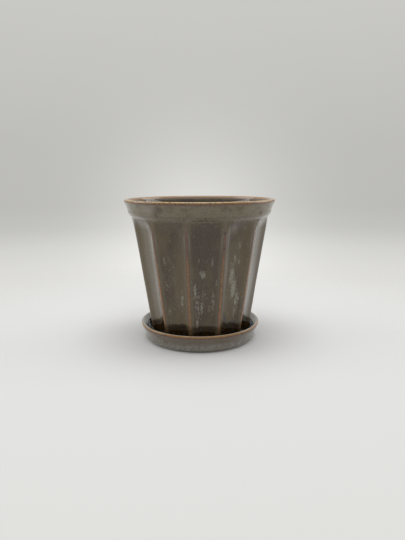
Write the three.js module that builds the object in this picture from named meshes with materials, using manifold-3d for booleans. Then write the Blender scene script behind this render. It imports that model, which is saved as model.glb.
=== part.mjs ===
// A fluted ceramic planter that stands loose in its own saucer.
// Millimetres, +Z up. The origin is the middle of the saucer's base, on the surface that it stands on.
// One flute faces -Y.

import * as THREE from "three";
import { mergeVertices } from "three/addons/utils/BufferGeometryUtils.js";
import Module from "manifold-3d";

// Outside of the pot. Heights in the pot are measured from its foot.
const FOOT_RADIUS = 47.5; // over the ridges, at the foot
const SHOULDER_RADIUS = 65.1; // over the ridges, where the shoulder starts
const COLLAR_STEP = 3.1; // how far the collar stands out past the ridges
const LIP_FLARE = 3.2; // how far the lip stands out past the collar
const FLUTED_HEIGHT = 114; // foot to shoulder
const SHOULDER_RISE = 6.2;
const COVE_RISE = 8.3; // shallow cove from the collar out to the lip
const LIP_RISE = 1.7;
const FOOT_ROUND = 1;

// Flutes
const FLUTE_COUNT = 12;
const FLUTE_DEPTH_TOP = 3.8; // from the ridges down to the middle of a flute
const FLUTE_DEPTH_FOOT = 3;
const RIDGE_WIDTH = 1.4; // glaze rounds a ridge off to about this width
const CORNER_HEIGHT = 12; // rounded upper corners of a flute
const SCOOP_HEIGHT = 12; // a flute's floor runs out over this height
const SCOOP_END = 117.5; // height at which it meets the shoulder
const TOP_SHARE = 0.68; // share of the pitch that a flute's flat top end keeps
const FLUTE_POWER = 2.4; // a flute's floor rises with this power of the distance from its middle

// Inside of the pot
const WALL = 3.7; // at the middle of a flute
const FLUTE_SOFTENING = 1.8; // the inside follows the flutes less deeply by this much
const LIP_THICKNESS = 3.8;
const COLLAR_WALL = 4;
const INNER_SHOULDER = 14; // height over which the inside runs in below the collar
const FLOOR_THICKNESS = 6.5;
const FLOOR_FILLET = 6;
const HOLE_RADIUS = 6;

// Under the pot
const FOOT_RING_WIDTH = 8;
const FOOT_RECESS = 1.5;
const NOTCH_COUNT = 3;
const NOTCH_WIDTH = 6;
const NOTCH_DEPTH = 1.3;

// Saucer, from the pot's foot outwards
const FOOT_CLEARANCE = 1.7; // between the pot's foot and the edge of the saucer's floor
const SEAT_GAP = 0.3; // standing clearance under the pot's foot
const WELL_DRAFT = 3.4; // the well's wall leans out by this much
const WELL_FILLET = 2.5;
const BRIM_WIDTH = 5.5; // sloping brim, from the well's edge to the outside of the lip
const BRIM_DROP = 3;
const SAUCER_LIP = 2.6; // thickness of the rounded lip
const SAUCER_DEPTH = 11.9; // floor to lip
const SAUCER_FLOOR_THICKNESS = 3.8;

// Outside and underside of the saucer
const SAUCER_FLARE = 4.1; // the outside leans out by this much from foot to lip
const FLARE_TUCK = 3.5; // how long the flare stays upright at its foot
const FLARE_SWELL = 3; // how long it takes to turn upright under the lip
const SAUCER_FOOT_ROUND = 4.5; // rounded lower edge of the outside
const SAUCER_FOOT_BAND = 0.5; // upright band between the rounding and the flare
const SAUCER_FOOT_WIDTH = 12; // foot ring, with the rounding
const SAUCER_RECESS = 1.2;

// Facets
const CURVE_STEPS = 4;
const LIP_STEPS = 3;
const TOP_STEPS = 8;
const SAUCER_SIDES = 72;
const NOTCH_SIDES = 24;
const FLUTE_COLUMNS = [0, 0.5, 0.85, 1]; // from the middle of a flute to its edge
const ROUND_SPAN = 0.8; // share of the pitch that the same columns span where there are no flutes

// Finishes
const POT_GLAZE = { color: 0x5d5245, roughness: 0.16, metalness: 0 };
const SAUCER_GLAZE = { color: 0x686058, roughness: 0.22, metalness: 0 };

const halfPitch = Math.PI / FLUTE_COUNT;
const collarRadius = SHOULDER_RADIUS + COLLAR_STEP;
const collarHeight = FLUTED_HEIGHT + SHOULDER_RISE;
const lipRadius = collarRadius + LIP_FLARE;
const lipHeight = collarHeight + COVE_RISE;
const lipInside = lipRadius - LIP_THICKNESS;
const potHeight = lipHeight + LIP_RISE;
const saucerFloor = SAUCER_RECESS + SAUCER_FLOOR_THICKNESS;

const wasm = await Module();
wasm.setup();

// Radius over the ridges, which run straight from the foot to the shoulder.
function ridgeRadius(height) {
  return THREE.MathUtils.mapLinear(height, 0, FLUTED_HEIGHT, FOOT_RADIUS, SHOULDER_RADIUS);
}

function fluteDepth(height) {
  return THREE.MathUtils.mapLinear(height, 0, FLUTED_HEIGHT, FLUTE_DEPTH_FOOT, FLUTE_DEPTH_TOP);
}

// Depth of a flute where its floor runs out towards the shoulder.
function scoopedDepth(height) {
  const scoop = THREE.MathUtils.clamp((height - SCOOP_END) / SCOOP_HEIGHT + 1, 0, 1);
  return fluteDepth(height) * Math.cos((Math.PI / 2) * scoop) ** 2;
}

// One level of the pot's surface: its radius over the ridges, its height, how deep the flutes are
// there, and the share of the pitch that each of them spans.
function level(radius, height, depth = 0, span = ROUND_SPAN) {
  return { radius, height, depth, span };
}

function fluteLevel(radius, height) {
  const fullSpan = 1 - RIDGE_WIDTH / 2 / (radius * halfPitch);
  const corner = Math.max(0, 1 - (FLUTED_HEIGHT - height) / CORNER_HEIGHT);
  const span = TOP_SHARE + (fullSpan - TOP_SHARE) * Math.sqrt(1 - corner * corner);
  return level(radius, height, scoopedDepth(height), span);
}

// From the foot to the shoulder. Steps shorten towards the top, where the corners turn fastest.
function flutedLevels() {
  const levels = [fluteLevel(FOOT_RADIUS - FOOT_ROUND, 0), fluteLevel(ridgeRadius(FOOT_ROUND), FOOT_ROUND)];
  for (let i = 0; i <= TOP_STEPS; i++) {
    const rise = CORNER_HEIGHT * Math.sin((Math.PI / 2) * (i / TOP_STEPS));
    const height = FLUTED_HEIGHT - CORNER_HEIGHT + rise;
    levels.push(fluteLevel(ridgeRadius(height), height));
  }
  return levels;
}

// Levels along a curve that leaves start towards control and reaches end from it.
function curveLevels(start, control, end, steps = CURVE_STEPS) {
  const points = [start, control, end].map(([radius, height]) => new THREE.Vector2(radius, height));
  const curve = new THREE.QuadraticBezierCurve(...points);
  return curve.getPoints(steps).map((point) => level(point.x, point.y));
}

// The shoulder swells out to the collar. The flutes end on it, and their columns spread out there.
function shoulderLevels() {
  const ridgeTop = [SHOULDER_RADIUS, FLUTED_HEIGHT];
  const swelling = [collarRadius, collarHeight - SHOULDER_RISE / 2];
  const levels = curveLevels(ridgeTop, swelling, [collarRadius, collarHeight]);
  return levels.map(({ radius, height }) => {
    const past = THREE.MathUtils.clamp((height - SCOOP_END) / (collarHeight - SCOOP_END), 0, 1);
    return level(radius, height, scoopedDepth(height), THREE.MathUtils.lerp(TOP_SHARE, ROUND_SPAN, past));
  });
}

// The cove flares from the collar to the lip.
function coveLevels() {
  const cove = [collarRadius + LIP_FLARE / 3, collarHeight + 0.4 * COVE_RISE];
  return curveLevels([collarRadius, collarHeight], cove, [lipRadius, lipHeight]);
}

function lipLevels() {
  const round = Math.min(LIP_RISE, LIP_THICKNESS / 2);
  const outside = [lipRadius, lipHeight];
  const inside = [lipInside, lipHeight];
  const outerCrest = [lipRadius - round, potHeight];
  const innerCrest = [lipInside + round, potHeight];
  return [
    ...curveLevels(outside, [lipRadius, potHeight], outerCrest, LIP_STEPS),
    ...curveLevels(innerCrest, [lipInside, potHeight], inside, LIP_STEPS),
  ];
}

function insideLevels() {
  const innerRidge = (height) => ridgeRadius(height) - WALL - FLUTE_SOFTENING;
  const innerWave = (height) => fluteDepth(height) - FLUTE_SOFTENING;
  const waved = (height) => level(innerRidge(height), height, innerWave(height));
  const collarInside = collarRadius - COLLAR_WALL;
  const wallTop = waved(collarHeight - INNER_SHOULDER);
  const wallFoot = waved(FLOOR_THICKNESS + FLOOR_FILLET);
  const turnHeight = (wallTop.height + collarHeight) / 2;
  const turnRadius = (wallTop.radius + collarInside) / 2;
  const cove = [collarInside, collarHeight + COVE_RISE / 3];
  return [
    ...curveLevels([lipInside, lipHeight], cove, [collarInside, collarHeight]),
    level(turnRadius, turnHeight, wallTop.depth / 4),
    wallTop,
    ...filletLevels(wallFoot),
  ];
}

// The wall turns into the floor, and the wave of the flutes fades out on the way.
function filletLevels(wallFoot) {
  const floorEdge = wallFoot.radius - wallFoot.depth - FLOOR_FILLET;
  const start = [wallFoot.radius, wallFoot.height];
  const corner = [wallFoot.radius, FLOOR_THICKNESS];
  const turns = curveLevels(start, corner, [floorEdge, FLOOR_THICKNESS]);
  return turns.map((turn, i) => ({ ...turn, depth: wallFoot.depth * (1 - i / CURVE_STEPS) }));
}

function undersideLevels() {
  const ringInside = FOOT_RADIUS - FOOT_RING_WIDTH;
  return [
    level(HOLE_RADIUS, FLOOR_THICKNESS),
    level(HOLE_RADIUS, FOOT_RECESS),
    level(ringInside - FOOT_RECESS, FOOT_RECESS),
    level(ringInside, 0),
  ];
}

// Columns of one flute: angles from its middle, and how far across its half width each one lies.
function fluteColumns(span) {
  const right = FLUTE_COLUMNS.map((across) => ({ angle: across * span * halfPitch, across }));
  const left = right.slice(1).reverse();
  const ridge = { angle: -halfPitch, across: 1 };
  return [ridge, ...left.map(({ angle, across }) => ({ angle: -angle, across })), ...right];
}

// The levels form a closed ring, so the surface closes on itself through the drain hole.
function potSurface() {
  const outside = [...flutedLevels(), ...shoulderLevels(), ...coveLevels(), ...lipLevels()];
  const all = [...outside, ...insideLevels(), ...undersideLevels()];
  const levels = all.filter(({ radius, height }, i) => {
    const before = all[(i + all.length - 1) % all.length];
    return Math.hypot(radius - before.radius, height - before.height) > 1e-6;
  });
  const positions = [];
  for (const { radius, height, depth, span } of levels) {
    for (let flute = 0; flute < FLUTE_COUNT; flute++) {
      for (const { angle, across } of fluteColumns(span)) {
        const turn = 2 * flute * halfPitch + angle;
        const reach = radius - depth * (1 - across ** FLUTE_POWER);
        positions.push(reach * Math.sin(turn), -reach * Math.cos(turn), height);
      }
    }
  }
  const around = FLUTE_COUNT * fluteColumns(ROUND_SPAN).length;
  const index = [];
  for (let i = 0; i < levels.length; i++) {
    const below = i * around;
    const above = ((i + 1) % levels.length) * around;
    for (let j = 0; j < around; j++) {
      const k = (j + 1) % around;
      index.push(below + j, below + k, above + k, below + j, above + k, above + j);
    }
  }
  const geometry = new THREE.BufferGeometry();
  geometry.setAttribute("position", new THREE.Float32BufferAttribute(positions, 3));
  geometry.setIndex(index);
  return geometry;
}

function solidOf(geometry) {
  const bare = geometry.clone();
  bare.deleteAttribute("normal");
  bare.deleteAttribute("uv");
  const merged = mergeVertices(bare);
  const vertProperties = merged.attributes.position.array;
  const triVerts = new Uint32Array(merged.index.array);
  return new wasm.Manifold(new wasm.Mesh({ numProp: 3, vertProperties, triVerts }));
}

function geometryOf(solid) {
  const mesh = solid.getMesh();
  const geometry = new THREE.BufferGeometry();
  geometry.setAttribute("position", new THREE.Float32BufferAttribute(mesh.vertProperties, 3));
  geometry.setIndex(new THREE.BufferAttribute(mesh.triVerts, 1));
  return geometry;
}

// A shallow round channel across the foot ring, which lets water out from under the pot.
function drainNotch(turn) {
  const radius = (NOTCH_WIDTH ** 2 / 4 + NOTCH_DEPTH ** 2) / (2 * NOTCH_DEPTH);
  const innerEnd = FOOT_RADIUS - FOOT_RING_WIDTH - FOOT_RECESS;
  const outerEnd = FOOT_RADIUS + FOOT_ROUND;
  const notch = new THREE.CylinderGeometry(radius, radius, outerEnd - innerEnd, NOTCH_SIDES);
  notch.translate(0, -(innerEnd + outerEnd) / 2, NOTCH_DEPTH - radius);
  return notch.rotateZ(turn);
}

function potGeometry() {
  let solid = solidOf(potSurface());
  for (let i = 0; i < NOTCH_COUNT; i++) {
    const notch = drainNotch((2 * Math.PI * i) / NOTCH_COUNT);
    solid = solid.subtract(solidOf(notch));
  }
  return geometryOf(solid);
}

function saucerGeometry() {
  const floorRadius = FOOT_RADIUS + FOOT_CLEARANCE;
  const wellRadius = floorRadius + WELL_DRAFT;
  const outerLip = wellRadius + BRIM_WIDTH;
  const outerFoot = outerLip - SAUCER_FLARE;
  const innerFoot = outerFoot - SAUCER_FOOT_WIDTH;
  const flareFoot = SAUCER_FOOT_ROUND + SAUCER_FOOT_BAND;
  const crest = saucerFloor + SAUCER_DEPTH;
  const lipMiddle = crest - SAUCER_LIP / 2;
  const filletEnd = floorRadius + (WELL_DRAFT * WELL_FILLET) / (SAUCER_DEPTH - BRIM_DROP);
  const profile = new THREE.Path();
  profile.moveTo(0, SAUCER_RECESS);
  profile.lineTo(innerFoot - SAUCER_RECESS, SAUCER_RECESS);
  profile.lineTo(innerFoot, 0);
  profile.lineTo(outerFoot - SAUCER_FOOT_ROUND, 0);
  profile.quadraticCurveTo(outerFoot, 0, outerFoot, SAUCER_FOOT_ROUND);
  profile.lineTo(outerFoot, flareFoot);
  profile.bezierCurveTo(
    ...[outerFoot, flareFoot + FLARE_TUCK],
    ...[outerLip, lipMiddle - FLARE_SWELL],
    ...[outerLip, lipMiddle],
  );
  profile.quadraticCurveTo(outerLip, crest, outerLip - SAUCER_LIP / 2, crest);
  profile.quadraticCurveTo(outerLip - SAUCER_LIP, crest, wellRadius, crest - BRIM_DROP);
  profile.lineTo(filletEnd, saucerFloor + WELL_FILLET);
  profile.quadraticCurveTo(floorRadius, saucerFloor, floorRadius - WELL_FILLET, saucerFloor);
  profile.lineTo(0, saucerFloor);
  return new THREE.LatheGeometry(profile.getPoints(CURVE_STEPS), SAUCER_SIDES).rotateX(Math.PI / 2);
}

const planter = new THREE.Group();

const saucer = new THREE.Mesh(saucerGeometry(), new THREE.MeshStandardMaterial(SAUCER_GLAZE));
saucer.name = "saucer";
planter.add(saucer);

const pot = new THREE.Mesh(potGeometry(), new THREE.MeshStandardMaterial(POT_GLAZE));
pot.name = "pot";
pot.position.z = saucerFloor + SEAT_GAP;
planter.add(pot);

export default planter;
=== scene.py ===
"""A fluted ceramic planter on its saucer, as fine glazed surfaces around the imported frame.

It is laid out as a Blender add-on and run as a script. main() registers the classes, makes the pot,
the saucer and the stage. Lengths are in metres, +Z is up, and
angles are turned about Z from the flute that faces -Y, positive towards +X.
"""

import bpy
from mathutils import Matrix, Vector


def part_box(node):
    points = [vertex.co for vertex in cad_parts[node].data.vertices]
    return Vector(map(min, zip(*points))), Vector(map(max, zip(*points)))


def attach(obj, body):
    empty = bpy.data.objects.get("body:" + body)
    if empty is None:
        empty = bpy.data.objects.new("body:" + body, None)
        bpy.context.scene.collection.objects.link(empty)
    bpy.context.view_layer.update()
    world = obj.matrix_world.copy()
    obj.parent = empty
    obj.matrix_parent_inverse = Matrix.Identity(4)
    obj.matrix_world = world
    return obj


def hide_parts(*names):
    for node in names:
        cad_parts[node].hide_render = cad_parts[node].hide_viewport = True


bl_info = {
    "name": "Fluted Planter",
    "version": (1, 0, 0),
    "blender": (4, 5, 0),
    "location": "View3D > Sidebar > Planter",
    "description": "A glazed fluted pot and its saucer as fine surfaces, with their stage",
    "category": "Add Mesh",
}

import math

import bpy
import numpy as np
from bpy.props import FloatProperty, FloatVectorProperty, IntProperty, PointerProperty
from mathutils import Matrix, Vector

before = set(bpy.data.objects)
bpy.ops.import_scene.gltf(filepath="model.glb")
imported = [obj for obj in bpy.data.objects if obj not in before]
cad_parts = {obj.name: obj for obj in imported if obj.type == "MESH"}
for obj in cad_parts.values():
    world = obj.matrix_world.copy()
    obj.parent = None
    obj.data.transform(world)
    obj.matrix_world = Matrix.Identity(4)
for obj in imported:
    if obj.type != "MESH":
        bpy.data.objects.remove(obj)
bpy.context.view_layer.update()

POT_LOW, POT_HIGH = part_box("pot")
SAUCER_LOW, SAUCER_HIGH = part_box("saucer")
MM = 0.001

# Kept free inside the frame's box, so that no rounding reaches past it
HAIR = 0.01 * MM

# Share of the pitch that a flute's columns span where the surface has no flutes
ROUND_SPAN = 0.82

# A flute's floor rises with this power of the distance from its middle
FLUTE_POWER = 2.4

# Slope that a flute's wall keeps at its ridge, as a share of the depth over half the width
RIDGE_SLOPE = 0.7

# Columns across one flute, and over the ridge beside it
FLUTE_COLUMNS = 37
RIDGE_COLUMNS = 7

# Columns round the saucer, and the radius within which a fan closes its surface
SAUCER_COLUMNS = 288
FAN_RADIUS = 2 * MM

# Rounding of the drain hole's edges, as a share of its radius
HOLE_ROUNDING = 0.15

# Distances beside a ridge and past the lip's crest are followed this far
FAR = 20 * MM


def length(name, description, default):
    """A size in metres, given here in millimetres."""
    return FloatProperty(
        name=name, description=description, default=default * MM, unit="LENGTH", precision=5
    )


def colour(name, description, default):
    """A scene-linear colour."""
    return FloatVectorProperty(
        name=name, description=description, default=default, subtype="COLOR", size=3, min=0, max=1
    )


def angle(name, description, degrees):
    """An angle in radians, given here in degrees."""
    return FloatProperty(name=name, description=description, default=math.radians(degrees), subtype="ANGLE")


def share(name, description, default):
    """A share from 0 to 1."""
    return FloatProperty(name=name, description=description, default=default, min=0, max=1, subtype="FACTOR")


class PlanterPotSizes(bpy.types.PropertyGroup):
    """Sizes of the pot, measured from its foot."""

    lip_radius: length("Lip radius", "Widest circle, at the lip", POT_HIGH.x / MM)
    height: length("Height", "Foot to the top of the lip", (POT_HIGH.z - POT_LOW.z) / MM)
    foot_radius: length("Foot radius", "Over the ridges, at the foot", 47.5)
    shoulder_radius: length("Shoulder radius", "Over the ridges, at the shoulder", 65.1)
    collar_radius: length("Collar radius", "At the crease between shoulder and cove", 68.2)
    fluted_height: length("Fluted height", "Foot to shoulder", 114)
    collar_height: length("Collar height", "Foot to the crease", 120.2)
    lip_rise: length("Lip rise", "Height of the lip's rounding", 1.7)
    lip_thickness: length("Lip thickness", "Across the lip", 3.8)
    flute_count: IntProperty(name="Flutes", description="Number of flutes", default=12, min=3, max=48)
    flute_depth_top: length("Flute depth at top", "Ridge to the middle of a flute", 3.8)
    flute_depth_foot: length("Flute depth at foot", "Ridge to the middle of a flute", 3)
    ridge_width: length("Ridge width", "Rounded top of a ridge", 1.4)
    ridge_shoulder: length("Ridge shoulder", "The wall rounds over this far beside a ridge", 1.8)
    top_shoulder: length("Top shoulder", "The same at the top of the flutes", 6)
    corner_height: length("Corner height", "Rounded upper corners of a flute", 16)
    scoop_end: length("Scoop end", "Height at which a flute's floor meets the shoulder", 117.5)
    scoop_height: length("Scoop height", "A flute's floor runs out over this height", 14)
    top_share: share("Top share", "Share of the pitch that a flute's flat top end keeps", 0.55)
    wall: length("Wall", "At the middle of a flute", 3.7)
    collar_wall: length("Collar wall", "At the collar", 4)
    inner_softening: length("Inner softening", "The inside follows the flutes less deeply", 1.8)
    inner_shoulder: length("Inner shoulder", "The inside runs in over this height", 14)
    floor_thickness: length("Floor thickness", "Inside floor above the foot", 6.5)
    floor_fillet: length("Floor fillet", "Radius where the wall meets the floor", 6)
    hole_radius: length("Drain hole radius", "In the middle of the floor", 6)
    foot_round: length("Foot round", "Rounded outer edge of the foot", 1)
    foot_recess: length("Foot recess", "Hollow under the floor", 1.5)
    foot_ring_width: length("Foot ring width", "The ring that the pot stands on", 8)
    notch_count: IntProperty(name="Notches", description="Drain notches in the foot ring", default=3, min=0)
    notch_width: length("Notch width", "Across a drain notch", 6)
    notch_depth: length("Notch depth", "Depth of a drain notch", 1.3)
    unevenness: length("Unevenness", "Swell of the hand-glazed wall", 0.12)


class PlanterSaucerSizes(bpy.types.PropertyGroup):
    """Sizes of the saucer, measured from the surface that it stands on."""

    lip_radius: length("Lip radius", "Widest circle, at the lip", SAUCER_HIGH.x / MM)
    height: length("Height", "To the top of the lip", SAUCER_HIGH.z / MM)
    foot_radius: length("Foot radius", "Outside of the foot", 54)
    foot_round: length("Foot round", "Rounded lower edge of the outside", 4.5)
    foot_band: length("Foot band", "Upright band between the rounding and the flare", 0.5)
    foot_width: length("Foot width", "Foot ring, with the rounding", 12)
    recess: length("Recess", "Hollow under the floor", 1.2)
    flare_tuck: length("Flare tuck", "The flare stays upright this long at its foot", 3.5)
    flare_swell: length("Flare swell", "It turns upright over this length under the lip", 3)
    lip_thickness: length("Lip thickness", "Across the rounded lip", 2.6)
    well_radius: length("Well radius", "Edge between the brim and the well", 52.6)
    brim_drop: length("Brim drop", "Lip to the well's edge", 3)
    floor_radius: length("Floor radius", "Edge of the flat floor", 49.2)
    floor_height: length("Floor height", "Top of the floor", 5)
    well_fillet: length("Well fillet", "Rounding at the foot of the well's wall", 2.5)
    unevenness: length("Unevenness", "Swell of the hand-glazed wall", 0.06)


class PlanterGlazeColours(bpy.types.PropertyGroup):
    """Scene-linear colours of the reactive glaze and of the clay."""

    body: colour("Body", "Glaze in the middle of a flute", (0.038, 0.0155, 0.001))
    olive: colour("Olive", "Cloudy patches of the body", (0.075, 0.047, 0.006))
    halo: colour("Halo", "Thinner glaze beside the ridges", (0.126, 0.095, 0.051))
    pool: colour("Pool", "Thick glaze on the collar", (0.16, 0.129, 0.075))
    # Also laid on the pot's pale patches, which are partly a painted sheen
    brim: colour("Brim", "Pale glaze of the saucer's brim", (0.31, 0.288, 0.238))
    frost: colour("Frost", "Crystals low on the saucer", (0.235, 0.233, 0.208))
    # Painted highlight: the pale line on the edge of the saucer's well, and a painted sheen mixed into the
    # brim
    painted_glint: colour("Glint", "Thin glaze on the edge of the saucer's well", (0.7, 0.68, 0.63))
    mist: colour("Mist", "Pale greenish crystals", (0.3, 0.295, 0.235))
    cherry: colour("Cherry", "Thin glaze high on the ridges", (0.155, 0.056, 0.043))
    plum: colour("Plum", "Band under the lip", (0.15, 0.08, 0.06))
    umber: colour("Umber", "Dark rust under the ochre", (0.1, 0.042, 0.014))
    ochre: colour("Ochre", "Bare-looking glaze on the lip", (0.3, 0.145, 0.028))
    # Partly thin pale glaze, partly a painted highlight along the crest
    honey_highlight: colour("Honey", "Pale ochre on the lip's crest", (0.62, 0.43, 0.2))
    tan: colour("Tan", "Thin glaze inside the lip", (0.5, 0.3, 0.16))
    lilac: colour("Lilac", "Grey glaze inside the lip and on the saucer", (0.167, 0.137, 0.115))
    rust: colour("Rust", "Broken glaze on the ridges", (0.33, 0.135, 0.026))
    # Besides thick glaze, this colour paints shade: the dark zone at the pot's foot, where the saucer's
    # shadow and its dark well mirrored in the wall fall, and part of the saucer's dark well. It also darkens
    # the pot's inside deeper down.
    pitch: colour("Pitch", "Thickest glaze, at the foot and in the well", (0.012, 0.008, 0.005))
    iron: colour("Iron", "Dark specks", (0.03, 0.018, 0.012))
    clay: colour("Clay", "Unglazed foot", (0.38, 0.27, 0.17))


class PlanterStageSettings(bpy.types.PropertyGroup):
    """The floor, the light and the camera."""

    floor_colour: colour("Floor", "Colour of the floor", (0.77, 0.77, 0.76))
    backdrop_tint: colour("Backdrop tint", "Tint of the backdrop at full brightness", (1, 0.995, 0.96))
    ambient: FloatProperty(name="Ambient", description="Strength of the even light", default=0.55, min=0)
    camera_distance: length("Camera distance", "Level distance to the planter's axis", 457.8)
    camera_height: length("Camera height", "Above the floor", 155.7)
    camera_side: length("Camera side step", "To the right of the planter's axis", 2.6)
    camera_turn: angle("Camera turn", "About Z", -5.1)
    camera_pitch: angle("Camera pitch", "Downwards", 11.1)
    camera_roll: angle("Camera roll", "About the view", -0.2)
    camera_lens: FloatProperty(name="Lens", description="In mm, on a 36 mm long side", default=31.63, min=1)


# Curves and meshes


def bezier(points, count):
    """Points of the curve with these control points, up to but not at its end.

    Control point i of n + 1 weighs n over i, times 1 - t to the power n - i, times t to the power i.
    Two control points make a straight line.
    """
    t = np.linspace(0, 1, count, endpoint=False)[:, None]
    degree = len(points) - 1
    weights = [math.comb(degree, i) * (1 - t) ** (degree - i) * t**i for i in range(degree + 1)]
    return sum(weight * np.array(point) for weight, point in zip(weights, points))


def path(start, *curves):
    """Points along joined curves, each given as its count of rows and its control points after its start."""
    parts = []
    for count, *points in curves:
        parts.append(bezier([start, *points], count))
        start = points[-1]
    return np.concatenate(parts)


def smooth(value, low, high):
    """0 below low and 1 above high, with the cubic 3 t squared - 2 t cubed between them."""
    t = np.clip((value - low) / (high - low), 0, 1)
    return t * t * (3 - 2 * t)


def mesh_object(name, points, ring, fields):
    """Joins a grid of points, rows by columns, into one closed surface and makes it an object.

    Columns close on themselves. Rows do too where ring is true. Otherwise the first and last row are
    closed by a fan to their middle. fields holds one number a point for each named attribute.
    """
    rows, columns = points.shape[:2]
    row = np.arange(rows if ring else rows - 1)[:, None] * columns
    above = (row + columns) % (rows * columns)
    column = np.arange(columns)[None]
    beside = (column + 1) % columns
    quads = np.stack([row + column, row + beside, above + beside, above + column], -1).reshape(-1, 4)
    vertices = points.reshape(-1, 3)
    values = {key: field.reshape(-1) for key, field in fields.items()}
    faces = quads.tolist()
    if not ring:
        first, last = rows * columns, rows * columns + 1
        vertices = np.vstack([vertices, points[0].mean(0), points[-1].mean(0)])
        values = {key: np.append(value, [value[0], value[-1]]) for key, value in values.items()}
        around = np.arange(columns)
        following = (around + 1) % columns
        top = (rows - 1) * columns
        bottom_fan = np.stack([following, around, np.full(columns, first)], -1)
        top_fan = np.stack([top + around, top + following, np.full(columns, last)], -1)
        faces += bottom_fan.tolist() + top_fan.tolist()
    mesh = bpy.data.meshes.new(name)
    mesh.from_pydata(vertices, [], faces)
    mesh.shade_smooth()
    for key, value in values.items():
        mesh.attributes.new(key, "FLOAT", "POINT").data.foreach_set("value", value.astype(np.float32))
    piece = bpy.data.objects.new(name, mesh)
    bpy.context.scene.collection.objects.link(piece)
    return piece


# The pot's surface


def stations(points, depth=0.0, span=ROUND_SPAN, shoulder=MM):
    """Rows of radius, height, flute depth, flute span and shoulder for points of the pot's section.

    The shoulder is how far a flute's wall rounds over beside a ridge. Where it is 0, the flutes are a
    soft wave.
    """
    count = len(points)
    columns = [points[:, 0], points[:, 1], depth, span, shoulder]
    return np.stack([np.broadcast_to(column, count) for column in columns], -1)


def ridge_radius(sizes, height):
    """Radius over the ridges: a straight taper from the foot to the shoulder."""
    return sizes.foot_radius + (sizes.shoulder_radius - sizes.foot_radius) * height / sizes.fluted_height


def flute_depth(sizes, height):
    """Depth of a flute below its ridges, growing evenly from the foot to the shoulder."""
    growth = sizes.flute_depth_top - sizes.flute_depth_foot
    return sizes.flute_depth_foot + growth * height / sizes.fluted_height


def scooped_depth(sizes, height):
    """Depth of a flute, which runs out towards the shoulder as the square of a cosine."""
    scoop = np.clip((height - sizes.scoop_end) / sizes.scoop_height + 1, 0, 1)
    return flute_depth(sizes, height) * np.cos(np.pi / 2 * scoop) ** 2


def fluted_wall(sizes):
    """The outside from the foot to the shoulder.

    A flute's span narrows over its upper corners as a quarter ellipse, and its edges grow rounder there
    as the square of the way up.
    """
    corner_start = sizes.fluted_height - sizes.corner_height
    foot = np.linspace(0, 1, 4, endpoint=False)
    rounded = sizes.foot_round * (1 - np.sqrt(1 - (1 - foot) ** 2))
    lower = np.linspace(sizes.foot_round, corner_start, 18, endpoint=False)
    upper = corner_start + sizes.corner_height * np.sin(np.linspace(0, np.pi / 2, 24))
    height = np.concatenate([sizes.foot_round * foot, lower, upper])
    radius = ridge_radius(sizes, height)
    radius[: len(foot)] -= rounded
    half_pitch = np.pi / sizes.flute_count
    full_span = 1 - sizes.ridge_width / 2 / (radius * half_pitch)
    corner = np.clip((height - corner_start) / sizes.corner_height, 0, 1)
    span = sizes.top_share + (full_span - sizes.top_share) * np.sqrt(1 - corner**2)
    shoulder = sizes.ridge_shoulder + (sizes.top_shoulder - sizes.ridge_shoulder) * corner**2
    return stations(np.stack([radius, height], -1), scooped_depth(sizes, height), span, shoulder)


def collar_and_lip(sizes):
    """The outside from the shoulder over the lip, and down the inside of the collar."""
    lip = sizes.lip_radius - HAIR
    top = sizes.height - HAIR
    lip_height = top - sizes.lip_rise
    inside = lip - sizes.lip_thickness
    collar_inside = sizes.collar_radius - sizes.collar_wall
    shoulder_rise = sizes.collar_height - sizes.fluted_height
    cove_rise = lip_height - sizes.collar_height
    cove_control = sizes.collar_radius + (lip - sizes.collar_radius) / 3
    crest = sizes.lip_rise
    shoulder = path(
        [sizes.shoulder_radius, sizes.fluted_height],
        (
            14,
            [sizes.collar_radius, sizes.collar_height - shoulder_rise / 2],
            [sizes.collar_radius, sizes.collar_height],
        ),
    )
    rest = path(
        [sizes.collar_radius, sizes.collar_height],
        (14, [cove_control, sizes.collar_height + 0.4 * cove_rise], [lip, lip_height]),
        (7, [lip, top], [lip - crest, top]),
        (2, [inside + crest, top]),
        (7, [inside, top], [inside, lip_height]),
        (12, [collar_inside, sizes.collar_height + cove_rise / 3], [collar_inside, sizes.collar_height]),
    )
    relaxed = np.interp(shoulder[:, 1], [sizes.scoop_end, sizes.collar_height], [sizes.top_share, ROUND_SPAN])
    scooped = stations(shoulder, scooped_depth(sizes, shoulder[:, 1]), relaxed, sizes.top_shoulder)
    return np.concatenate([scooped[1:], stations(rest)])


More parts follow.
